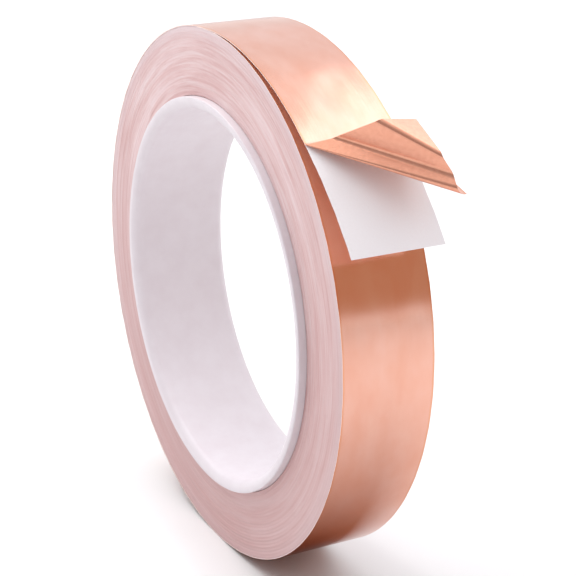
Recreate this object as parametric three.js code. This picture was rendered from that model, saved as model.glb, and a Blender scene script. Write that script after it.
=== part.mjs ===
// Roll of copper foil tape, standing on its edge.
//
// The tape is copper foil with adhesive on its inner face, wound on a plain core with a paper
// release liner under it. The core is a little wider than the tape, and the inner edges of its
// two ends are rounded. The outer lap has sprung loose near the top and runs into a short
// straight tail, where the foil is peeled off the liner and its near corner is rolled back.
//
// Millimetres, +Z up, the roll's axis along Y. The origin is the point that the roll stands on,
// straight below its axis, at the middle of the tape's width. Angles are in degrees in the XZ
// plane about the roll's axis, from +X towards +Z.

import * as THREE from 'three';

// The roll
const TAPE_WIDTH = 19;
const CORE_WIDTH = 22;
const BORE_RADIUS = 38.1;
const CORE_RADIUS = 40.7;
const LIP_RADIUS = 1.9;
const LIP_STEPS = 5;
const ROLL_RADIUS = 54.7;
const FACETS = 96;
const FACET_DEG = 360 / FACETS;
const FLOOR_DEG = -90;

// The tape's layers, from its outer face inwards
const FOIL_THICKNESS = 0.06;
const LINER_THICKNESS = 0.08;
const LAYER_GAP = 0.005;
const LINER_DEPTH = FOIL_THICKNESS + LAYER_GAP;
const TAPE_THICKNESS = LINER_DEPTH + LINER_THICKNESS + LAYER_GAP;

// The strip that holds the first lap on the core
const STARTER_FROM_DEG = 200;
const STARTER_SWEEP_DEG = 7 * FACET_DEG;
const STARTER_THICKNESS = 0.07;
const STARTER_GAP = 0.015;

// The loose stretch of the outer lap: it leaves the roll at LIFT_DEG on a slightly wider curve
const LIFT_DEG = FLOOR_DEG + 49.5 * FACET_DEG;
const LOOSE_RADIUS = 63.9;
const LOOSE_SWEEP_DEG = 43.2;
const LOOSE_LINKS = 4;
const LINK_GAP = 0.2;

// The tail: bare liner below, peeled foil above
const TAIL_LENGTH = 23.8;
const LINER_START_HEADING_DEG = -35;
const LINER_RADIUS = 80;
const TAIL_START_GAP = 0.3;
const FLAP_HEADING_DEG = -13.5;

// Folds of the peeled foil. Each runs from the tape's near edge (mm from the tail's start) to
// the cut end (mm from the near edge), between its first and last crease line, and turns the
// foil beyond it by turnDeg in that many equal steps.
const FLAP_FOLDS = [
  { near: [0.3, 0.5], cut: [18.3, 16.3], turnDeg: 150, steps: 12 },
  { near: [4.7, 6.6], cut: [15.1, 13.1], turnDeg: -72, steps: 6 },
  { near: [15.0, 17.0], cut: [11.0, 9.0], turnDeg: 102, steps: 8 },
];
const FLAP_SPLIT_GAP = 0.3;

function radians(degrees) {
  return (degrees * Math.PI) / 180;
}

// The angle that an arc of the given length spans.
function arcDegrees(length, radius) {
  return (length / radius) * (180 / Math.PI);
}

function polar(radius, degrees, centre = new THREE.Vector2()) {
  const angle = radians(degrees);
  return new THREE.Vector2(radius * Math.cos(angle), radius * Math.sin(angle)).add(centre);
}

// ---------------------------------------------------------------------------------------------
// Materials

function material(colour, roughness, metalness) {
  return new THREE.MeshStandardMaterial({ color: colour, roughness, metalness });
}

const copperMaterial = () => material(0xd08a66, 0.28, 1.0);
const adhesiveSideMaterial = () => material(0xd99a78, 0.4, 0.9);
const linerMaterial = () => material(0xe9e3ea, 0.6, 0.0);
const coreMaterial = () => material(0xe6e1e8, 0.5, 0.0);
const woundSideMaterial = () => material(0xdcbcbd, 0.55, 0.2);
const starterMaterial = () => material(0xd8cfae, 0.6, 0.0);

// ---------------------------------------------------------------------------------------------
// Flat outlines in the XZ plane, run across the tape's width

// Extrudes an outline, drawn with x as X and y as Z, over the tape's whole width.
function acrossTheTape(shape) {
  const geometry = new THREE.ExtrudeGeometry(shape, { depth: TAPE_WIDTH, bevelEnabled: false });
  geometry.rotateX(Math.PI / 2);
  geometry.translate(0, TAPE_WIDTH / 2, 0);
  return geometry;
}

// Angles from one end of an arc to the other, in equal steps of about one facet.
function arcAngles(fromDeg, toDeg) {
  const steps = Math.max(1, Math.round(Math.abs(toDeg - fromDeg) / FACET_DEG));
  return Array.from({ length: steps + 1 }, (_, i) => fromDeg + ((toDeg - fromDeg) * i) / steps);
}

// A layer of tape between two radii over the given angles. The radii are functions of the angle.
function layerShape(innerAt, outerAt, angles, centre) {
  const outer = angles.map((deg) => polar(outerAt(deg), deg, centre));
  const inner = angles.map((deg) => polar(innerAt(deg), deg, centre)).reverse();
  return new THREE.Shape([...outer, ...inner]);
}

function evenLayer(outerRadius, thickness, fromDeg, toDeg, centre) {
  const angles = arcAngles(fromDeg, toDeg);
  return layerShape(() => outerRadius - thickness, () => outerRadius, angles, centre);
}

// ---------------------------------------------------------------------------------------------
// The wound roll

// Radius of the outermost lap's outer face. The winding is a spiral, so the radius falls by one
// tape thickness over the turn that starts at the lift line.
function spiralRadius(deg) {
  return ROLL_RADIUS - (TAPE_THICKNESS * (deg - LIFT_DEG)) / 360;
}

// The roll stands on the flat between two corners of its outer face.
const ROLL_CENTRE_Z = spiralRadius(FLOOR_DEG + 360) * Math.cos(radians(FACET_DEG / 2));

// The core's section, as [radius, position along the axis] points, with rounded inner edges.
function coreSection() {
  const end = CORE_WIDTH / 2;
  const lip = (side, step) => {
    const angle = radians((90 * step) / LIP_STEPS);
    const radius = BORE_RADIUS + LIP_RADIUS * (1 - Math.cos(angle));
    return [radius, side * (end - LIP_RADIUS + LIP_RADIUS * Math.sin(angle))];
  };
  const steps = Array.from({ length: LIP_STEPS + 1 }, (_, i) => i);
  return [
    [CORE_RADIUS, -end],
    [CORE_RADIUS, end],
    ...steps.map((i) => lip(1, LIP_STEPS - i)),
    ...steps.map((i) => lip(-1, i)),
  ];
}

// A solid ring with the given section about the roll's axis. Its corners line up with the laps'.
function turnedGeometry(section) {
  const positions = [];
  for (let k = 0; k < FACETS; k += 1) {
    for (const [radius, along] of section) {
      const point = polar(radius, LIFT_DEG + k * FACET_DEG);
      positions.push(point.x, along, point.y);
    }
  }
  const index = [];
  const at = (k, i) => (k % FACETS) * section.length + (i % section.length);
  for (let k = 0; k < FACETS; k += 1) {
    for (let i = 0; i < section.length; i += 1) {
      index.push(at(k, i), at(k, i + 1), at(k + 1, i + 1));
      index.push(at(k, i), at(k + 1, i + 1), at(k + 1, i));
    }
  }
  const geometry = new THREE.BufferGeometry();
  geometry.setAttribute('position', new THREE.Float32BufferAttribute(positions, 3));
  geometry.setIndex(index);
  return geometry;
}

function coreTube() {
  return turnedGeometry(coreSection());
}

function starterStrip() {
  const radius = CORE_RADIUS + STARTER_GAP + STARTER_THICKNESS;
  const start = LIFT_DEG + Math.round((STARTER_FROM_DEG - LIFT_DEG) / FACET_DEG) * FACET_DEG;
  return acrossTheTape(evenLayer(radius, STARTER_THICKNESS, start, start + STARTER_SWEEP_DEG));
}

// All the laps under the outermost one. The outer face has the spiral's one-lap step.
function woundTape() {
  const innerRadius = CORE_RADIUS + 2 * STARTER_GAP + STARTER_THICKNESS;
  const angles = arcAngles(LIFT_DEG, LIFT_DEG + 360);
  const shape = new THREE.Shape(angles.map((deg) => polar(spiralRadius(deg) - TAPE_THICKNESS, deg)));
  shape.holes.push(new THREE.Path(angles.slice(1).map((deg) => polar(innerRadius, deg))));
  return acrossTheTape(shape);
}

// One layer of the outermost full lap, at the given depth under its outer face. Its corners sit
// on those of the laps below, except at its two ends.
function outerLapLayer(depth, thickness) {
  const endGapDeg = arcDegrees(LINK_GAP, ROLL_RADIUS);
  const inside = arcAngles(LIFT_DEG, LIFT_DEG + 360).slice(1, -1);
  const angles = [LIFT_DEG + endGapDeg, ...inside, LIFT_DEG + 360 - endGapDeg];
  const outerAt = (deg) => spiralRadius(deg) - depth;
  const innerAt = (deg) => spiralRadius(deg) - depth - thickness;
  return acrossTheTape(layerShape(innerAt, outerAt, angles));
}

// ---------------------------------------------------------------------------------------------
// The loose lap: short links that follow a curve wider than the roll, touching it at the lift line

const looseCentre = polar(LOOSE_RADIUS - ROLL_RADIUS, LIFT_DEG + 180);
const linkSweepDeg = LOOSE_SWEEP_DEG / LOOSE_LINKS;

function looseLink(index, depth, thickness) {
  const gapDeg = arcDegrees(LINK_GAP / 2, LOOSE_RADIUS);
  const fromDeg = LIFT_DEG - index * linkSweepDeg - gapDeg;
  const toDeg = LIFT_DEG - (index + 1) * linkSweepDeg + gapDeg;
  return acrossTheTape(evenLayer(LOOSE_RADIUS - depth, thickness, fromDeg, toDeg, looseCentre));
}

// Outer face of the tape where the loose lap ends and the foil parts from the liner.
const tailStart = polar(LOOSE_RADIUS, LIFT_DEG - LOOSE_SWEEP_DEG, looseCentre);

// The liner goes on past the peeled foil, still slightly curved from the roll.
function tailLiner() {
  const startDeg = LINER_START_HEADING_DEG + 90;
  const centre = polar(LINER_RADIUS, startDeg + 180, tailStart);
  const fromDeg = startDeg - arcDegrees(TAIL_START_GAP, LINER_RADIUS);
  const toDeg = startDeg - arcDegrees(TAIL_LENGTH, LINER_RADIUS);
  const outerRadius = LINER_RADIUS - LINER_DEPTH;
  return acrossTheTape(evenLayer(outerRadius, LINER_THICKNESS, fromDeg, toDeg, centre));
}

// ---------------------------------------------------------------------------------------------
// The peeled foil. It is laid out flat (s along the tape from the tail's start, w across it from
// the near edge, n out of its outer face), then folded crease by crease without stretching.

// One crease line, from (near, 0) on the near edge to (TAIL_LENGTH, cut) on the cut end.
function creaseLine(near, cut, turnDeg) {
  const start = new THREE.Vector3(near, 0, 0);
  const along = new THREE.Vector3(TAIL_LENGTH - near, cut, 0);
  return { start, along, turn: radians(turnDeg) };
}

function creaseLines() {
  return FLAP_FOLDS.flatMap(({ near, cut, turnDeg, steps }) =>
    Array.from({ length: steps }, (_, i) => {
      const u = (i + 0.5) / steps;
      return creaseLine(
        THREE.MathUtils.lerp(near[0], near[1], u),
        THREE.MathUtils.lerp(cut[0], cut[1], u),
        turnDeg / steps,
      );
    }),
  );
}

// Turns everything beyond a crease about the crease line. The foil rolls towards its outer face.
function creaseTurn({ start, along, turn }) {
  const axis = along.clone().normalize().negate();
  const there = new THREE.Matrix4().makeTranslation(start.x, start.y, start.z);
  const back = new THREE.Matrix4().makeTranslation(-start.x, -start.y, -start.z);
  return there.multiply(new THREE.Matrix4().makeRotationAxis(axis, turn)).multiply(back);
}

// From the flat layout to the peeled foil's place on the roll.
function flapPlacement() {
  const heading = radians(FLAP_HEADING_DEG);
  const alongTape = new THREE.Vector3(Math.cos(heading), 0, Math.sin(heading));
  const across = new THREE.Vector3(0, 1, 0);
  const outwards = alongTape.clone().cross(across);
  const placement = new THREE.Matrix4().makeBasis(alongTape, across, outwards);
  return placement.setPosition(tailStart.x, -TAPE_WIDTH / 2, tailStart.y);
}

// The two ends of a crease on the foil's outline.
function creaseEnds({ start, along }) {
  return [start.clone(), new THREE.Vector3(TAIL_LENGTH, along.y, 0)];
}

// A closed thin sheet from stations, each a pair of points joined by a crease, with its normal.
function sheetGeometry(stations) {
  const half = FOIL_THICKNESS / 2;
  const positions = [];
  for (const { ends, normal } of stations) {
    for (const end of ends) {
      for (const side of [half, -half]) {
        positions.push(...end.clone().addScaledVector(normal, side).toArray());
      }
    }
  }
  const index = [];
  const quad = (a, b, c, d) => index.push(a, b, c, a, c, d);
  const last = 4 * (stations.length - 1);
  for (let k = 0; k < last; k += 4) {
    quad(k, k + 4, k + 6, k + 2);
    quad(k + 1, k + 3, k + 7, k + 5);
    quad(k, k + 1, k + 5, k + 4);
    quad(k + 2, k + 6, k + 7, k + 3);
  }
  quad(0, 2, 3, 1);
  quad(last, last + 1, last + 3, last + 2);
  const geometry = new THREE.BufferGeometry();
  geometry.setAttribute('position', new THREE.Float32BufferAttribute(positions, 3));
  geometry.setIndex(index);
  return geometry;
}

// The flat part that lifts off the liner, from the far edge to the first crease.
function flapBase() {
  const [first] = creaseLines();
  const placement = flapPlacement();
  const normal = new THREE.Vector3(0, 0, 1).transformDirection(placement);
  const station = (...points) => ({
    ends: points.map(([s, w]) => new THREE.Vector3(s, w, 0).applyMatrix4(placement)),
    normal,
  });
  return sheetGeometry([
    station([TAIL_START_GAP, TAPE_WIDTH], [TAIL_LENGTH, TAPE_WIDTH]),
    station(
      [TAIL_START_GAP, FLAP_SPLIT_GAP],
      [TAIL_LENGTH, first.along.y + FLAP_SPLIT_GAP],
    ),
  ]);
}

// The rolled-back corner, from the first crease to the near corner of the cut end.
function flapCurl() {
  const lines = creaseLines();
  const bend = flapPlacement();
  const stations = [];
  const station = (ends, before, after) => {
    const normalBefore = new THREE.Vector3(0, 0, 1).transformDirection(before);
    const normalAfter = new THREE.Vector3(0, 0, 1).transformDirection(after);
    stations.push({
      ends: ends.map((end) => end.applyMatrix4(before)),
      normal: normalBefore.add(normalAfter).normalize(),
    });
  };
  for (const line of lines) {
    const before = bend.clone();
    bend.multiply(creaseTurn(line));
    station(creaseEnds(line), before, bend);
  }
  const tip = new THREE.Vector3(TAIL_LENGTH, 0, 0);
  const tipEnds = [tip.clone().setX(TAIL_LENGTH - FLAP_SPLIT_GAP), tip.clone().setY(FLAP_SPLIT_GAP)];
  station(tipEnds, bend, bend);
  return sheetGeometry(stations);
}

// ---------------------------------------------------------------------------------------------
// The assembly

const roll = new THREE.Group();
roll.position.z = ROLL_CENTRE_Z;

function add(name, geometry, meshMaterial) {
  const mesh = new THREE.Mesh(geometry, meshMaterial);
  mesh.name = name;
  roll.add(mesh);
}

add('core_tube', coreTube(), coreMaterial());
add('starter_strip', starterStrip(), starterMaterial());
add('wound_tape', woundTape(), woundSideMaterial());
add('outer_lap_liner', outerLapLayer(LINER_DEPTH, LINER_THICKNESS), linerMaterial());
add('outer_lap_foil', outerLapLayer(0, FOIL_THICKNESS), copperMaterial());
for (let i = 0; i < LOOSE_LINKS; i += 1) {
  add(`loose_liner_${i + 1}`, looseLink(i, LINER_DEPTH, LINER_THICKNESS), linerMaterial());
  add(`loose_foil_${i + 1}`, looseLink(i, 0, FOIL_THICKNESS), copperMaterial());
}
add('tail_liner', tailLiner(), linerMaterial());
add('peeled_foil', flapBase(), copperMaterial());
add('rolled_foil_corner', flapCurl(), adhesiveSideMaterial());

const part = new THREE.Group();
part.add(roll);

export default part;
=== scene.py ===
"""A roll of copper foil tape on a white core, standing on its edge, with a loose outer lap and a tail
where the foil is peeled off its release liner and its near corner is rolled back.

Lengths are in millimetres and in the roll's own frame (origin on the roll's axis, at the middle of
the tape's width) until a mesh is made, which converts them to metres in the row frame.
"""

import math

import bpy
import numpy as np
from mathutils import Matrix, Vector


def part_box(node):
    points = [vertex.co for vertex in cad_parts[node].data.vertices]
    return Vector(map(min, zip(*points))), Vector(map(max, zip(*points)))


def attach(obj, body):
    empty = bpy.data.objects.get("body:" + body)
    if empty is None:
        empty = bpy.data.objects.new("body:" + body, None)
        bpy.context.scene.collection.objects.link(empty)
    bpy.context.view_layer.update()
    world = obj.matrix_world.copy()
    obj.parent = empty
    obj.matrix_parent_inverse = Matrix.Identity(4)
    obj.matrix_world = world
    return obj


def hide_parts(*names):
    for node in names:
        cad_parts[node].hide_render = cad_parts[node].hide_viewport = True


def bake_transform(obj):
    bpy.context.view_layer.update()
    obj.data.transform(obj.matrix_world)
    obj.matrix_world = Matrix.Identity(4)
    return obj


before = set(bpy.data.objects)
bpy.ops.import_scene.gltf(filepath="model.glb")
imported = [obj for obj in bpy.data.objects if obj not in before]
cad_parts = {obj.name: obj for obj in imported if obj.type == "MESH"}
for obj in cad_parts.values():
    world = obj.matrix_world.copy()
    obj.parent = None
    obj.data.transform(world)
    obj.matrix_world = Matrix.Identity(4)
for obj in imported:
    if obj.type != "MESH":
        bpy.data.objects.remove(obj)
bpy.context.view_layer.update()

MM = 0.001
core_low, core_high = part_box("core_tube")
ROLL_CENTRE = (core_low + core_high) / 2

# The roll. Its round surfaces touch the flats of the CAD model's rings, and so stay inside them.
RING_FLATS = 96
ROUND = math.cos(math.radians(180 / RING_FLATS))
TAPE_WIDTH = 19.0
CORE_WIDTH = 22.0
BORE_RADIUS = 38.1 * ROUND
CORE_RADIUS = 40.7 * ROUND
LIP_RADIUS = 1.9
CORE_EDGE_RADIUS = 0.25
PACK_INNER_RADIUS = 40.8 * ROUND
ROLL_RADIUS = 54.7 * ROUND

# The tape's layers
FOIL_THICKNESS = 0.06
LINER_THICKNESS = 0.08
LAYER_GAP = 0.005
LAP_THICKNESS = 0.15
FOIL_DEPTH = FOIL_THICKNESS / 2
LINER_DEPTH = FOIL_THICKNESS + LAYER_GAP + LINER_THICKNESS / 2

# The loose stretch of the outer lap, and the tail
LIFT_DEG = 95.625
LOOSE_RADIUS = 63.9 * ROUND
LOOSE_SWEEP_DEG = 43.2
LOOSE_LINKS = 4
LINK_DEG = LOOSE_SWEEP_DEG / LOOSE_LINKS
LOOSE_END_HEADING_DEG = LIFT_DEG - LOOSE_SWEEP_DEG - 90
TAIL_LENGTH = 23.8
LINER_HEADING_DEG = -35.0
LINER_RADIUS = 80.0
FLAP_HEADING_DEG = -13.5

# Folds of the peeled foil. For the first and the last crease line of each fold: where the line
# meets the near edge (from the tail's start) and the cut end (from the near edge). Then the fold's
# turn, and how many creases share it.
FLAP_FOLDS = [
    {"near": (0.3, 0.6), "cut": (18.6, 15.9), "turn_deg": 150, "steps": 40},
    {"near": (4.7, 6.6), "cut": (15.1, 13.1), "turn_deg": -72, "steps": 16},
    {"near": (15.0, 17.0), "cut": (11.0, 9.0), "turn_deg": 102, "steps": 20},
]

# The peeled foil starts flat at this distance from the tail's start, past its bend.
FLAP_START = 0.3

# How finely the meshes are divided: steps round the roll, steps along the tape, and points across.
CORE_STEPS = 288
LIP_STEPS = 12
CORE_EDGE_STEPS = 4
PACK_STEPS = 240
LAP_STEP_DEG = 1.0
LOOSE_STEP_DEG = 0.5
TAIL_STEP = 0.5
TAPE_COLUMNS = 17
FLAP_COLUMNS = 33
FLAT_FLAP_ROWS = 13

# Where the sheets of the loose stretch start on the roll.
ROLL_OVERLAP_DEG = 5.0

# The creases up to this turn make the fold piece. Those beyond it are rigid.
FOLD_SPLIT_DEG = 70


def polar(radius, deg, centre=(0.0, 0.0)):
    """(x, z) at a radius and angle about a centre; angles run from +X towards +Z."""
    angle = math.radians(deg)
    return np.array([centre[0] + radius * math.cos(angle), centre[1] + radius * math.sin(angle)])


LOOSE_CENTRE = polar(LOOSE_RADIUS - ROLL_RADIUS, LIFT_DEG + 180)
TAIL_START = polar(LOOSE_RADIUS, LIFT_DEG - LOOSE_SWEEP_DEG, LOOSE_CENTRE)
LOOSE_LENGTH = math.radians(LOOSE_SWEEP_DEG) * LOOSE_RADIUS


# ---------------------------------------------------------------------------------------------
# Meshes


def make_object(name, vertices, faces, materials, face_materials=None, sharp_deg=35):
    """A smooth-shaded mesh object, given in millimetres in the roll's frame."""
    mesh = bpy.data.meshes.new(name)
    points = np.asarray(vertices, float) * MM + np.array(ROLL_CENTRE)
    mesh.from_pydata(points.tolist(), [], [list(map(int, f)) for f in faces])
    for material in materials:
        mesh.materials.append(material)
    if face_materials is not None:
        mesh.polygons.foreach_set("material_index", np.asarray(face_materials, np.int32))
    mesh.polygons.foreach_set("use_smooth", np.ones(len(mesh.polygons), bool))
    mesh.set_sharp_from_angle(angle=math.radians(sharp_deg))
    mesh.update()
    obj = bpy.data.objects.new(name, mesh)
    bpy.context.scene.collection.objects.link(obj)
    return obj


def store_vector(obj, name, values):
    """Keeps one vector per vertex, for the materials."""
    attribute = obj.data.attributes.new(name, "FLOAT_VECTOR", "POINT")
    attribute.data.foreach_set("vector", np.asarray(values, np.float32).ravel())


def sheet(name, points, normals, thickness, strip, materials):
    """A closed thin sheet about a grid of points (along the tape, across it). strip holds each
    point's place on the flat tape. materials are for the outer face, inner face and edges."""
    rows, columns = points.shape[:2]
    outer = points + normals * (thickness / 2)
    inner = points - normals * (thickness / 2)
    vertices = np.concatenate([outer.reshape(-1, 3), inner.reshape(-1, 3)])
    back = rows * columns

    def at(i, j):
        return i * columns + j

    faces, kinds = [], []
    for i in range(rows - 1):
        for j in range(columns - 1):
            quad = [at(i, j), at(i + 1, j), at(i + 1, j + 1), at(i, j + 1)]
            faces += [quad, [back + v for v in reversed(quad)]]
            kinds += [0, 1]
    border = [at(i, 0) for i in range(rows)]
    border += [at(rows - 1, j) for j in range(1, columns)]
    border += [at(i, columns - 1) for i in range(rows - 2, -1, -1)]
    border += [at(0, j) for j in range(columns - 2, 0, -1)]
    for a, b in zip(border, border[1:] + border[:1]):
        faces.append([b, a, back + a, back + b])
        kinds.append(2)
    obj = make_object(name, vertices, faces, materials, kinds)
    flat = np.zeros((rows, columns, 3))
    flat[..., :2] = strip
    store_vector(obj, "strip", np.concatenate([flat.reshape(-1, 3)] * 2))
    return obj


def edge_wander(s, phase):
    """How far the slit edge of the tape strays from its line, at a distance along the tape."""
    broad = 0.02 * math.sin(0.9 * s + phase)
    fine = 0.015 * math.sin(2.3 * s + 2 * phase) * math.sin(0.31 * s)
    return broad + fine


def tape_sheet(name, stations, thickness, materials):
    """A sheet across the whole tape. Each station is (point, normal, s), in the XZ plane, and s is
    the distance along the tape from the tail's start."""
    across = np.linspace(0, TAPE_WIDTH, TAPE_COLUMNS)
    points = np.zeros((len(stations), TAPE_COLUMNS, 3))
    normals = np.zeros_like(points)
    strip = np.zeros((len(stations), TAPE_COLUMNS, 2))
    for i, (point, normal, s) in enumerate(stations):
        near_edge, far_edge = edge_wander(s, 1.0), edge_wander(s, 4.0)
        lean = np.linspace(near_edge, far_edge, TAPE_COLUMNS)
        points[i, :, 0], points[i, :, 2] = point
        points[i, :, 1] = across - TAPE_WIDTH / 2 + lean
        normals[i, :, 0], normals[i, :, 2] = normal
        strip[i, :, 0], strip[i, :, 1] = s, across
    return sheet(name, points, normals, thickness, strip, materials)


def spiral_station(deg, depth):
    """On the outermost lap, which starts at LIFT_DEG and goes round once."""
    radius = ROLL_RADIUS - LAP_THICKNESS * (deg - LIFT_DEG) / 360
    s = -LOOSE_LENGTH - math.radians(deg - LIFT_DEG) * ROLL_RADIUS
    return polar(radius - depth, deg), polar(1, deg), s


def loose_station(swept_deg, depth):
    """On the loose stretch, or on the roll just before it where swept_deg is negative."""
    if swept_deg < 0:
        return spiral_station(LIFT_DEG - swept_deg, depth)
    deg = LIFT_DEG - swept_deg
    s = -LOOSE_LENGTH + math.radians(swept_deg) * LOOSE_RADIUS
    return polar(LOOSE_RADIUS - depth, deg, LOOSE_CENTRE), polar(1, deg), s


def heading_station(point, heading_deg, depth, s):
    """A station at a point of the tape's outer face, with the tape running along a heading."""
    normal = polar(1, heading_deg + 90)
    return point - normal * depth, normal, s


def bend_stations(heading_from, heading_to, length, depth, steps):
    """Stations of a small bend at the tail's start, from one heading to another. It starts and
    ends the same distance from the corner."""
    turn = math.radians(heading_to - heading_from)
    radius = length / math.tan(abs(turn) / 2)
    start = TAIL_START - polar(length, heading_from)
    centre = start + polar(radius, heading_from + 90) * math.copysign(1, turn)
    found = []
    for i in range(steps + 1):
        heading = heading_from + (heading_to - heading_from) * i / steps
        point = centre - polar(radius, heading + 90) * math.copysign(1, turn)
        found.append(heading_station(point, heading, depth, length * (2 * i / steps - 1)))
    return found


def span(start, stop, step):
    """Values from start to stop, evenly spaced by about step."""
    return np.linspace(start, stop, max(2, int(round(abs(stop - start) / step)) + 1))


# ---------------------------------------------------------------------------------------------
# Materials


class Nodes:
    """The node tree of a material or of the world, with its one shader."""

    def __init__(self, owner, shader="Principled BSDF"):
        self.owner = owner
        owner.use_nodes = True
        self.tree = owner.node_tree
        self.shader = self.tree.nodes[shader]

    def add(self, kind, inputs=None, **settings):
        node = self.tree.nodes.new("ShaderNode" + kind)
        for key, value in settings.items():
            setattr(node, key, value)
        for key, value in (inputs or {}).items():
            self.put(node, key, value)
        return node

    def put(self, node, key, value):
        if isinstance(value, bpy.types.NodeSocket):
            self.tree.links.new(value, node.inputs[key])
        else:
            node.inputs[key].default_value = value

    def math(self, operation, a, b=0.0):
        return self.add("Math", {0: a, 1: b}, operation=operation).outputs[0]

    def vector_math(self, operation, a, b=(0.0, 0.0, 0.0), output="Vector"):
        return self.add("VectorMath", {0: a, 1: b}, operation=operation).outputs[output]

    def scaled(self, vector, scale):
        return self.vector_math("MULTIPLY", vector, scale)

    def part_of(self, vector, axis):
        return self.add("SeparateXYZ", {0: vector}).outputs[axis]

    def noise(self, vector, detail, roughness=0.5):
        inputs = {"Vector": vector, "Scale": 1.0, "Detail": detail, "Roughness": roughness}
        return self.add("TexNoise", inputs).outputs["Fac"]

    def ramp(self, value, stops):
        """Colours by value. Each stop is (position, colour)."""
        node = self.add("ValToRGB", {"Fac": value})
        elements = node.color_ramp.elements
        while len(elements) < len(stops):
            elements.new(0.5)
        for element, (position, colour) in zip(elements, stops):
            element.position = position
            element.color = (*colour, 1.0)
        return node.outputs["Color"]

    def mix(self, share, a, b, blend="MIX"):
        """From a to b, by the share. Both are colours or colour sockets."""
        node = self.add("Mix", data_type="RGBA", blend_type=blend)
        self.put(node, "Factor", share)
        for socket, value in ((node.inputs[6], a), (node.inputs[7], b)):
            if isinstance(value, bpy.types.NodeSocket):
                self.tree.links.new(value, socket)
            else:
                socket.default_value = (*value, 1.0)
        return node.outputs[2]

    def rescale(self, value, low, high, to_low, to_high):
        """to_low at low, to_high at high, and no further past either."""
        inputs = {"Value": value, 1: low, 2: high, 3: to_low, 4: to_high}
        return self.add("MapRange", inputs).outputs[0]

    def bump(self, height, distance, strength, under=None):
        node = self.add("Bump", {"Height": height, "Distance": distance, "Strength": strength})
        if under is not None:
            self.put(node, "Normal", under)
        return node.outputs["Normal"]

    def finish(self, **sockets):
        """Fills the shader's sockets, with an underscore for each space in their names."""
        for key, value in sockets.items():
            self.put(self.shader, key.replace("_", " "), value)
        return self.owner


def material_nodes(name):
    return Nodes(bpy.data.materials.new(name))


def strip_place(nodes):
    """The place on the flat tape, in mm: along it, and across it from the near edge."""
    return nodes.add("Attribute", attribute_name="strip").outputs["Vector"]


def object_place(nodes):
    """The place in the row frame at rest, in metres."""
    return nodes.add("TexCoord").outputs["Object"]


def copper_foil():
    """Bare rolled copper: bright, with fine rolling lines along the tape and a faint waviness. It
    is redder along its slit edges, and painted shade darkens it low on the roll."""
    fresh, toned, slit_edge = (0.93, 0.53, 0.42), (0.90, 0.46, 0.34), (0.86, 0.36, 0.18)
    # Painted shade: a dark tone and a dimmed glint for the floor's shadow seen low in the copper.
    shade_tone, unshaded_glint, shade_glint = (0.34, 0.10, 0.05), (1.0, 1.0, 1.0), (0.58, 0.28, 0.20)
    shade_top, shade_bottom = 0.064, 0.010
    half, slit_edge_width = TAPE_WIDTH / 2, 0.5
    nodes = material_nodes("copper_foil")
    place = strip_place(nodes)
    across = nodes.part_of(place, 1)
    lines = nodes.noise(nodes.scaled(place, (0.05, 5.0, 1.0)), detail=4)
    clouds = nodes.noise(nodes.scaled(place, (0.12, 0.2, 1.0)), detail=3)
    waves = nodes.noise(nodes.scaled(place, (0.07, 0.1, 1.0)), detail=1)
    colour = nodes.mix(nodes.rescale(clouds, 0.35, 0.7, 0.0, 1.0), fresh, toned)
    from_middle = nodes.math("ABSOLUTE", nodes.math("SUBTRACT", across, half))
    rim = nodes.rescale(from_middle, half - slit_edge_width, half, 0.0, 0.8)
    colour = nodes.mix(rim, colour, slit_edge)
    # Painted shade grows towards the floor.
    height = nodes.part_of(object_place(nodes), 2)
    shade_share = nodes.math("POWER", nodes.rescale(height, shade_top, shade_bottom, 0.0, 1.0), 1.5)
    # The painted shade is deepest on the near half of the tape, and dims its glint at a low angle
    # too.
    shade_share = nodes.math("MULTIPLY", shade_share, nodes.rescale(across, 10.0, 18.0, 1.0, 0.3))
    colour = nodes.mix(shade_share, colour, shade_tone)
    glint_shade = nodes.math("MULTIPLY", shade_share, nodes.rescale(across, 10.0, 17.0, 1.0, 0.0))
    glint = nodes.mix(glint_shade, unshaded_glint, shade_glint)
    roughness = nodes.math("ADD", 0.12, nodes.math("MULTIPLY", lines, 0.09))
    normal = nodes.bump(waves, 0.0004, 0.5)
    normal = nodes.bump(lines, 0.000012, 0.6, under=normal)
    return nodes.finish(
        Base_Color=colour, Metallic=1.0, Roughness=roughness, Normal=normal, Specular_Tint=glint
    )


def adhesive_side():
    """The foil's inner face: copper under a clear, slightly uneven film of adhesive."""
    thin_film, thick_film = (0.82, 0.37, 0.24), (0.74, 0.31, 0.19)
    nodes = material_nodes("foil_adhesive_side")
    place = strip_place(nodes)
    film = nodes.noise(nodes.scaled(place, (1.2, 1.2, 1.0)), detail=5, roughness=0.6)
    lines = nodes.noise(nodes.scaled(place, (0.1, 4.0, 1.0)), detail=3)
    colour = nodes.mix(nodes.rescale(film, 0.3, 0.7, 0.0, 1.0), thin_film, thick_film)
    roughness = nodes.math("ADD", 0.2, nodes.math("MULTIPLY", film, 0.1))
    normal = nodes.bump(film, 0.00002, 0.4)
    normal = nodes.bump(lines, 0.00001, 0.5, under=normal)
    return nodes.finish(
        Base_Color=colour, Metallic=1.0, Roughness=roughness, Normal=normal,
        Coat_Weight=1.0, Coat_Roughness=0.12,
    )


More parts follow.
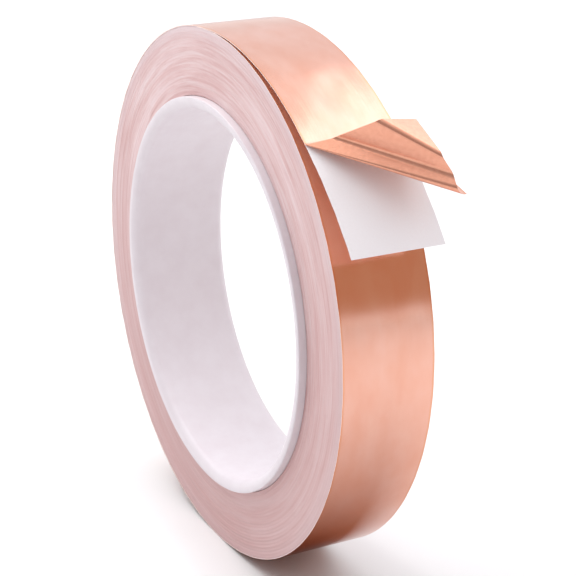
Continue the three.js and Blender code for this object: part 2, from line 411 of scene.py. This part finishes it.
def release_liner(name, pale, deep):
    """Smooth coated paper with a soft fibre mottle, between two tones."""
    nodes = material_nodes(name)
    place = strip_place(nodes)
    fibres = nodes.noise(nodes.scaled(place, (2.5, 2.5, 1.0)), detail=6, roughness=0.65)
    clouds = nodes.noise(nodes.scaled(place, (0.15, 0.15, 1.0)), detail=2)
    colour = nodes.mix(nodes.rescale(fibres, 0.35, 0.65, 0.0, 1.0), pale, deep)
    colour = nodes.mix(nodes.rescale(clouds, 0.4, 0.7, 0.0, 0.35), colour, deep)
    roughness = nodes.rescale(fibres, 0.3, 0.7, 0.38, 0.5)
    normal = nodes.bump(fibres, 0.00002, 0.4)
    return nodes.finish(Base_Color=colour, Roughness=roughness, Normal=normal)


def polar_place(nodes):
    """(distance from the roll's axis in mm, a vector that turns with the angle)."""
    from_centre = nodes.vector_math("SUBTRACT", object_place(nodes), tuple(ROLL_CENTRE))
    flat = nodes.scaled(from_centre, (1 / MM, 0.0, 1 / MM))
    radius = nodes.vector_math("LENGTH", flat, output="Value")
    return radius, nodes.vector_math("NORMALIZE", flat)


def streaks(nodes, radius, facing, per_mm, turns):
    """Noise in rings: it changes fast with the radius and slowly round the roll."""
    around = nodes.scaled(facing, (turns, 0.0, turns))
    ring = nodes.add("CombineXYZ", {1: nodes.math("MULTIPLY", radius, per_mm)}).outputs[0]
    return nodes.noise(nodes.vector_math("ADD", around, ring), detail=4, roughness=0.6)


def wound_side():
    """The side of the winding: many foil and paper edges, pink with pale rings. The last laps are
    greyer, and painted shade makes the pink deeper towards the floor."""
    broad_rings = [(0.34, (0.67, 0.42, 0.41)), (0.5, (0.73, 0.50, 0.49)), (0.66, (0.79, 0.60, 0.60))]
    pale_ring, dark_ring, blotch = (0.82, 0.70, 0.70), (0.58, 0.33, 0.32), (0.62, 0.39, 0.38)
    last_laps, shade_near_floor = (0.74, 0.62, 0.64), (0.54, 0.32, 0.31)
    nodes = material_nodes("wound_side")
    radius, facing = polar_place(nodes)
    broad = streaks(nodes, radius, facing, 0.35, 1.6)
    fine = streaks(nodes, radius, facing, 2.2, 3.5)
    blotches = streaks(nodes, radius, facing, 0.8, 14.0)
    colour = nodes.ramp(broad, broad_rings)
    colour = nodes.mix(nodes.rescale(fine, 0.45, 0.72, 0.0, 0.6), colour, pale_ring)
    colour = nodes.mix(nodes.rescale(fine, 0.45, 0.25, 0.0, 0.5), colour, dark_ring)
    colour = nodes.mix(nodes.rescale(blotches, 0.55, 0.8, 0.0, 0.35), colour, blotch)
    outer = nodes.rescale(radius, ROLL_RADIUS - 3.2, ROLL_RADIUS - 0.6, 0.0, 0.5)
    colour = nodes.mix(outer, colour, last_laps)
    height = nodes.part_of(facing, 2)
    # Painted shade: the pink is deeper towards the floor.
    colour = nodes.mix(nodes.rescale(height, 0.7, -0.9, 0.0, 0.7), colour, shade_near_floor)
    normal = nodes.bump(fine, 0.00006, 0.35)
    return nodes.finish(
        Base_Color=colour, Metallic=0.25, Roughness=0.42, Anisotropic=0.6, Normal=normal
    )


def core_plastic():
    """The core: satin white, with faint rings on its ends and a soft mottle."""
    pale, deep, ring_tone = (0.77, 0.71, 0.74), (0.74, 0.67, 0.70), (0.69, 0.61, 0.64)
    nodes = material_nodes("core")
    radius, facing = polar_place(nodes)
    rings = streaks(nodes, radius, facing, 3.0, 2.0)
    place = nodes.scaled(object_place(nodes), (220.0, 220.0, 220.0))
    mottle = nodes.noise(place, detail=4, roughness=0.6)
    colour = nodes.mix(nodes.rescale(mottle, 0.35, 0.7, 0.0, 1.0), pale, deep)
    colour = nodes.mix(nodes.rescale(rings, 0.5, 0.8, 0.0, 0.3), colour, ring_tone)
    roughness = nodes.rescale(mottle, 0.3, 0.7, 0.36, 0.48)
    normal = nodes.bump(mottle, 0.00004, 0.4)
    return nodes.finish(Base_Color=colour, Roughness=roughness, Normal=normal)


def starter_paper():
    """The strip that holds the first lap: tan paper with fibres."""
    nodes = material_nodes("starter")
    fibres = nodes.noise(nodes.scaled(object_place(nodes), (900.0, 900.0, 900.0)), detail=4)
    colour = nodes.mix(fibres, (0.66, 0.6, 0.42), (0.74, 0.69, 0.52))
    normal = nodes.bump(fibres, 0.00002, 0.4)
    return nodes.finish(Base_Color=colour, Roughness=0.6, Normal=normal)


def floor_paint():
    """A matt white floor with a barely visible grain."""
    nodes = material_nodes("floor")
    grain = nodes.noise(nodes.scaled(object_place(nodes), (60.0, 60.0, 60.0)), detail=3)
    colour = nodes.mix(grain, (0.88, 0.875, 0.87), (0.9, 0.895, 0.89))
    return nodes.finish(Base_Color=colour, Roughness=0.7)


COPPER = copper_foil()
ADHESIVE = adhesive_side()
LINER = release_liner("release_liner", (0.97, 0.94, 0.96), (0.95, 0.91, 0.93))
# The inside's warm tone is painted light: the copper's orange glow on the paper's underside.
LINER_INSIDE = release_liner("release_liner_inside", (0.92, 0.80, 0.72), (0.88, 0.74, 0.65))
WOUND_SIDE = wound_side()
CORE = core_plastic()

# Each tape layer's materials, for its outer face, inner face and edges
FOIL_FACES = [COPPER, ADHESIVE, COPPER]
LINER_FACES = [LINER, LINER_INSIDE, LINER]


# ---------------------------------------------------------------------------------------------
# The wound roll


def core_tube():
    """The core, turned from a profile with rounded inner lips and slightly softened outer edges."""
    half = CORE_WIDTH / 2
    corners = [
        (CORE_RADIUS, half, CORE_EDGE_RADIUS, CORE_EDGE_STEPS, 90),
        (CORE_RADIUS, -half, CORE_EDGE_RADIUS, CORE_EDGE_STEPS, 0),
        (BORE_RADIUS, -half, LIP_RADIUS, LIP_STEPS, -90),
        (BORE_RADIUS, half, LIP_RADIUS, LIP_STEPS, -180),
    ]
    profile = []
    for radius, y, rounding, steps, start_deg in corners:
        inwards = 1 if radius == BORE_RADIUS else -1
        for i in range(steps + 1):
            out, along = polar(rounding, start_deg - 90 * i / steps)
            ring_radius = radius + inwards * rounding + out
            profile.append((ring_radius, y - math.copysign(rounding, y) + along))
    vertices, faces = [], []
    for k in range(CORE_STEPS):
        for ring_radius, y in profile:
            x, z = polar(ring_radius, 360 * k / CORE_STEPS)
            vertices.append((x, y, z))
    count = len(profile)
    for k in range(CORE_STEPS):
        here, after = k * count, ((k + 1) % CORE_STEPS) * count
        for i in range(count):
            j = (i + 1) % count
            faces.append([here + i, here + j, after + j, after + i])
    obj = make_object("core", vertices, faces, [CORE], sharp_deg=60)
    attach(obj, "roll")
    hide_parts("core_tube")


def lap_offset(lap, side):
    """How far the edge of a lap stands out of the side of the winding, in mm: three waves of
    different lengths, about a line that is set in a little."""
    set_in = 0.05
    value = 0.035 * math.sin(0.55 * lap + side) + 0.03 * math.sin(1.37 * lap + 2.0 * side)
    value += 0.02 * math.sin(3.1 * lap + 0.7 * side)
    return value - set_in


def wound_pack():
    """All the laps under the outermost one, as one spiral with every lap's edge on its sides."""
    around = PACK_STEPS
    outer = ROLL_RADIUS - LAP_THICKNESS
    laps = int((outer - PACK_INNER_RADIUS) / LAP_THICKNESS)
    pitch = (outer - PACK_INNER_RADIUS) / laps
    count = (laps + 1) * around
    vertices = []
    for side in (-1, 1):
        for m in range(count):
            lap = min(m / around, laps)
            radius = outer - pitch * lap
            x, z = polar(radius, LIFT_DEG + 360 * m / around)
            vertices.append((x, side * (TAPE_WIDTH / 2 + lap_offset(lap, side)), z))
    faces, kinds = [], []

    def quad(a, b, c, d, kind):
        faces.append([a, b, c, d])
        kinds.append(kind)

    # The two sides, from each lap to the next
    for m in range(count - around - 1):
        near = [m, m + 1, m + 1 + around, m + around]
        quad(*near, 0)
        quad(*[count + v for v in reversed(near)], 0)
    # The outer face, the inner face, and the spiral's two ends
    for m in range(around):
        quad(m + 1, m, count + m, count + m + 1, 1)
    for m in range(count - around - 1, count - 1):
        quad(m, m + 1, count + m + 1, count + m, 1)
    last = count - 1
    quad(0, around, count + around, count, 1)
    quad(last, last - around, count + last - around, count + last, 1)
    obj = make_object("wound_laps", vertices, faces, [WOUND_SIDE, COPPER], kinds, sharp_deg=50)
    store_vector(obj, "strip", [(0.0, TAPE_WIDTH / 2, 0.0)] * len(vertices))
    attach(obj, "roll")
    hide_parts("wound_tape")


def outer_lap():
    """The outermost full lap, foil over liner, up to where the loose stretch takes over."""
    end_gap_deg = 0.2
    degs = span(LIFT_DEG + 360 - end_gap_deg, LIFT_DEG + ROLL_OVERLAP_DEG, LAP_STEP_DEG)
    foil = (FOIL_DEPTH, FOIL_THICKNESS, FOIL_FACES)
    liner = (LINER_DEPTH, LINER_THICKNESS, LINER_FACES)
    layers = [
        ("outer_lap_copper", "outer_lap_foil", "copper_foil", *foil),
        ("outer_lap_paper", "outer_lap_liner", "release_liner", *liner),
    ]
    for name, node, slot, depth, thickness, materials in layers:
        obj = tape_sheet(name, [spiral_station(d, depth) for d in degs], thickness, materials)
        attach(obj, "roll")
        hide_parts(node)


# ---------------------------------------------------------------------------------------------
# The loose stretch. One sheet crosses each hinge, from the middle of one link to the middle of
# the next, so that the tape bends as one strip.


def loose_bend(index, layer):
    """One layer's sheet across hinge number index (from 0) of the four coupled ones."""
    name, slot, depth, thickness, materials, node = layer
    start = -ROLL_OVERLAP_DEG if index == 0 else (index - 0.5) * LINK_DEG
    stop = (index + 0.5) * LINK_DEG
    stations = [loose_station(d, depth) for d in span(start, stop, LOOSE_STEP_DEG)]
    obj = tape_sheet(f"{name}_{index + 1}", stations, thickness, materials)
    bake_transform(obj)
    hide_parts(f"{node}_{index + 1}")


def loose_stretch():
    """Both layers of the loose stretch, except the last half link, which the tail's pieces hold."""
    foil = ("loose_copper", "copper_foil", FOIL_DEPTH, FOIL_THICKNESS, FOIL_FACES, "loose_foil")
    liner = ("loose_paper", "release_liner", LINER_DEPTH, LINER_THICKNESS, LINER_FACES, "loose_liner")
    for index in range(LOOSE_LINKS):
        loose_bend(index, foil)
        loose_bend(index, liner)


def last_loose_stations(depth, before_corner):
    """From the middle of the last link to just before the tail's start."""
    stop = LOOSE_SWEEP_DEG - math.degrees(before_corner / LOOSE_RADIUS)
    start = (LOOSE_LINKS - 0.5) * LINK_DEG
    return [loose_station(d, depth) for d in span(start, stop, LOOSE_STEP_DEG)]


def foil_bend():
    """The foil where it parts from the liner."""
    stations = last_loose_stations(FOIL_DEPTH, FLAP_START)
    bend = bend_stations(LOOSE_END_HEADING_DEG, FLAP_HEADING_DEG, FLAP_START, FOIL_DEPTH, 8)
    obj = tape_sheet("foil_peel_bend", stations + bend[1:], FOIL_THICKNESS, FOIL_FACES)
    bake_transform(obj)
    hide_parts("loose_foil_4")


def tail_paper():
    """The bare end of the liner, with the last half link of the loose stretch."""
    turn_length = 1.2
    stations = last_loose_stations(LINER_DEPTH, turn_length)
    bend = bend_stations(LOOSE_END_HEADING_DEG, LINER_HEADING_DEG, turn_length, LINER_DEPTH, 6)
    centre = polar(LINER_RADIUS, LINER_HEADING_DEG - 90, TAIL_START)
    rest = []
    for s in span(turn_length + TAIL_STEP, TAIL_LENGTH, TAIL_STEP):
        deg = LINER_HEADING_DEG + 90 - math.degrees(s / LINER_RADIUS)
        rest.append((polar(LINER_RADIUS - LINER_DEPTH, deg, centre), polar(1, deg), s))
    obj = tape_sheet("tail_paper", stations + bend[1:] + rest, LINER_THICKNESS, LINER_FACES)
    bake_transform(obj)
    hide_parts("loose_liner_4", "tail_liner")


# ---------------------------------------------------------------------------------------------
# The peeled foil, laid out flat (s, w, 0) and folded crease by crease without stretching


def flap_placement():
    """From the flat layout to the peeled foil's place, as a 4 x 4 matrix."""
    along = polar(1, FLAP_HEADING_DEG)
    outwards = polar(1, FLAP_HEADING_DEG + 90)
    start = TAIL_START - outwards * FOIL_DEPTH
    return Matrix((
        (along[0], 0, outwards[0], start[0]),
        (0, 1, 0, -TAPE_WIDTH / 2),
        (along[1], 0, outwards[1], start[1]),
        (0, 0, 0, 1),
    ))


def crease_lines():
    """(where a line meets the near edge, where it meets the cut end, its turn in radians)."""
    lines = []
    for fold in FLAP_FOLDS:
        for i in range(fold["steps"]):
            u = (i + 0.5) / fold["steps"]
            near = fold["near"][0] + (fold["near"][1] - fold["near"][0]) * u
            cut = fold["cut"][0] + (fold["cut"][1] - fold["cut"][0]) * u
            lines.append((near, cut, math.radians(fold["turn_deg"] / fold["steps"])))
    return lines


def crease_turn(near, cut, turn):
    """Turns what is beyond a crease about the crease line, towards the foil's outer face."""
    start = Vector((near, 0, 0))
    axis = Vector((near - TAIL_LENGTH, -cut, 0)).normalized()
    return Matrix.Translation(start) @ Matrix.Rotation(turn, 4, axis) @ Matrix.Translation(-start)


def flat_line(start, end):
    """Points of the flat tape along a straight line."""
    start, end = np.array(start), np.array(end)
    return [start + (end - start) * t for t in np.linspace(0, 1, FLAP_COLUMNS)]


def crease_points(near, cut):
    """Points of the flat tape along a crease, from the near edge to the cut end."""
    return flat_line((near, 0.0), (TAIL_LENGTH, cut))


def placed_row(flat, placement, normal):
    """A row of flat points put in place, with one normal."""
    points = [placement @ Vector((s, w, 0)) for s, w in flat]
    return [tuple(p) for p in points], [tuple(normal)] * len(points), [tuple(p) for p in flat]


def folded_rows():
    """(the folded part's rows, each row's total turn in degrees). There is a row for each crease,
    and past the last crease a few that close in on the tape's flat near corner."""
    up = Vector((0, 0, 1))
    bend = flap_placement()
    rows, turned = [], []
    total = 0.0
    lines = crease_lines()
    for near, cut, turn in lines:
        before = bend.to_3x3() @ up
        bend = bend @ crease_turn(near, cut, turn)
        normal = (before + bend.to_3x3() @ up).normalized()
        rows.append(placed_row(crease_points(near, cut), bend, normal))
        total += turn
        turned.append(math.degrees(total))
    near, cut, _ = lines[-1]
    normal = (bend.to_3x3() @ up).normalized()
    for share in (0.35, 0.7, 0.985):
        flat = crease_points(near + (TAIL_LENGTH - near) * share, cut * (1 - share))
        rows.append(placed_row(flat, bend, normal))
        turned.append(math.degrees(total))
    return rows, turned


def foil_from_rows(name, rows):
    points, normals, strip = (np.array([row[k] for row in rows]) for k in range(3))
    return sheet(name, points, normals, FOIL_THICKNESS, strip, FOIL_FACES)


def flat_rows():
    """The flat part, as rows from the far edge to the first crease."""
    near, cut, _ = crease_lines()[0]
    placement = flap_placement()
    normal = placement.to_3x3() @ Vector((0, 0, 1))
    first_crease = crease_points(near, cut)
    far_edge = flat_line((FLAP_START, TAPE_WIDTH), (TAIL_LENGTH, TAPE_WIDTH))
    rows = []
    for share in np.linspace(0, 1, FLAT_FLAP_ROWS):
        flat = [a + (b - a) * share for a, b in zip(far_edge, first_crease)]
        rows.append(placed_row(flat, placement, normal))
    return rows


def peeled_foil():
    """The flat triangle, the fold up to the split turn, and the rest of the corner."""
    flat = foil_from_rows("peeled_copper", flat_rows())
    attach(flat, "foil_end")
    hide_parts("peeled_foil")

    rows, turned = folded_rows()
    split = next(i for i, deg in enumerate(turned) if deg > FOLD_SPLIT_DEG)
    # The first crease: where it starts, which way it runs, and which side is beyond it.
    near, cut, _ = crease_lines()[0]
    placement = flap_placement()
    start = placement @ Vector((near, 0, 0))
    crease = (placement @ Vector((TAIL_LENGTH, cut, 0)) - start).normalized()
    outwards = placement.to_3x3() @ Vector((0, 0, 1))
    beyond = crease.cross(outwards)
    if beyond.y > 0:
        beyond = -beyond
    fold = foil_from_rows("corner_fold", rows[: split + 1])
    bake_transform(fold)
    corner = foil_from_rows("rolled_corner", rows[split:])
    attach(corner, "foil_corner")
    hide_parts("rolled_foil_corner")


def starter_strip():
    """The CAD model's own piece, in its paper."""
    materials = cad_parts["starter_strip"].data.materials
    materials.clear()
    materials.append(starter_paper())


core_tube()
starter_strip()
wound_pack()
outer_lap()
loose_stretch()
foil_bend()
tail_paper()
peeled_foil()


# ---------------------------------------------------------------------------------------------
# Floor, light and camera


def floor():
    """A wide disc under the roll."""
    mesh = bpy.data.meshes.new("floor")
    count, radius = 96, 6.0
    turns = [math.tau * k / count for k in range(count)]
    ring = [(radius * math.cos(turn), radius * math.sin(turn), 0) for turn in turns]
    mesh.from_pydata(ring, [], [list(range(count))])
    mesh.materials.append(floor_paint())
    obj = bpy.data.objects.new("floor", mesh)
    bpy.context.scene.collection.objects.link(obj)


# The sky by height, from the horizon (0) to straight overhead (1)
SKY_STOPS = [
    (0.0, (0.97, 0.95, 0.95)),
    (0.2, (0.88, 0.88, 0.90)),
    (0.34, (0.95, 0.97, 1.02)),
    (0.6, (0.93, 0.97, 1.03)),
    (1.0, (1.15, 1.15, 1.17)),
]

# The side that the roll's near face looks towards is shaded.
FRONT_SIDE = (0.6, -0.8, 0.0)
FRONT_SHADE = (0.52, 0.50, 0.50)

# A dim warm corner low down, which the copper reflects under the tail
DIM_CORNER = (0.86, 0.43, 0.22)
DIM_FROM, DIM_FULL = 0.90, 0.965
DIM_COLOUR = (0.50, 0.31, 0.20)
DIM_FROM_HEIGHT, DIM_FULL_HEIGHT = 0.03, 0.07


def sky():
    """A studio: pale all round and brighter overhead, shaded in front of the roll's near face, with
    one dim warm corner low down."""
    black, white = (0, 0, 0), (1, 1, 1)
    nodes = Nodes(bpy.data.worlds.new("studio"), "Background")
    bpy.context.scene.world = nodes.owner
    direction = nodes.add("TexCoord").outputs["Generated"]
    height = nodes.part_of(direction, 2)

    def share_towards(way, low, high):
        likeness = nodes.vector_math("DOT_PRODUCT", direction, Vector(way).normalized(), "Value")
        return nodes.ramp(likeness, [(low, black), (high, white)])

    colour = nodes.ramp(height, SKY_STOPS)
    colour = nodes.mix(share_towards(FRONT_SIDE, 0.0, 0.8), colour, FRONT_SHADE, "MULTIPLY")
    dim = share_towards(DIM_CORNER, DIM_FROM, DIM_FULL)
    above = nodes.ramp(height, [(DIM_FROM_HEIGHT, black), (DIM_FULL_HEIGHT, white)])
    colour = nodes.mix(nodes.math("MULTIPLY", dim, above), colour, DIM_COLOUR)
    nodes.finish(Color=colour, Strength=1.0)


def softbox(name, direction, distance, width, depth, radiance, colour=(1, 1, 1), turn_deg=0):
    """An area light that faces the roll from a direction and looks as bright as its radiance.
    Overhead, its width runs along the world's X until turn_deg turns it."""
    light = bpy.data.lights.new(name, "AREA")
    light.shape = "RECTANGLE"
    light.size, light.size_y = width, depth
    light.energy = radiance * math.pi * width * depth
    light.color = colour
    obj = bpy.data.objects.new(name, light)
    towards = Vector(direction).normalized()
    obj.location = ROLL_CENTRE + towards * distance
    side = Vector((1, 0, 0)) - towards * towards.x
    side = Matrix.Rotation(math.radians(turn_deg), 3, towards) @ side.normalized()
    obj.rotation_mode = "QUATERNION"
    axes = Matrix((side, towards.cross(side), towards)).transposed()
    obj.rotation_quaternion = axes.to_quaternion()
    bpy.context.scene.collection.objects.link(obj)


# The camera's direction and distance from the roll's centre, and its step to the right
CAMERA_AZIMUTH_DEG = 62.61
CAMERA_ELEVATION_DEG = 20.05
CAMERA_DISTANCE = 0.35026
CAMERA_SIDE_STEP = 0.00694
CAMERA_LENS = 106.17


def camera():
    """Its line of sight passes a small step to the right of the roll's centre."""
    azimuth, elevation = math.radians(CAMERA_AZIMUTH_DEG), math.radians(CAMERA_ELEVATION_DEG)
    level = math.cos(elevation)
    back = Vector((math.sin(azimuth) * level, -math.cos(azimuth) * level, math.sin(elevation)))
    right = Vector((math.cos(azimuth), math.sin(azimuth), 0))
    data = bpy.data.cameras.new("camera")
    data.lens = CAMERA_LENS
    data.clip_start, data.clip_end = 0.01, 50
    obj = bpy.data.objects.new("camera", data)
    obj.location = ROLL_CENTRE + back * CAMERA_DISTANCE + right * CAMERA_SIDE_STEP
    obj.rotation_mode = "QUATERNION"
    obj.rotation_quaternion = (-back).to_track_quat("-Z", "Y")
    bpy.context.scene.collection.objects.link(obj)
    bpy.context.scene.camera = obj


floor()
sky()
softbox(
    "top_light", direction=(0.0, 0.62, 0.785), distance=0.9, width=0.8, depth=0.42,
    radiance=1.0, colour=(1.0, 0.99, 0.99), turn_deg=-14,
)
softbox(
    "key_light", direction=(-0.62, -0.16, 0.77), distance=1.0, width=0.7, depth=0.6, radiance=3.4
)
softbox(
    "front_light", direction=(-0.12, -0.55, 0.83), distance=0.24, width=0.14, depth=0.14,
    radiance=2.2,
)
camera()
bpy.context.scene.view_settings.view_transform = "Standard"
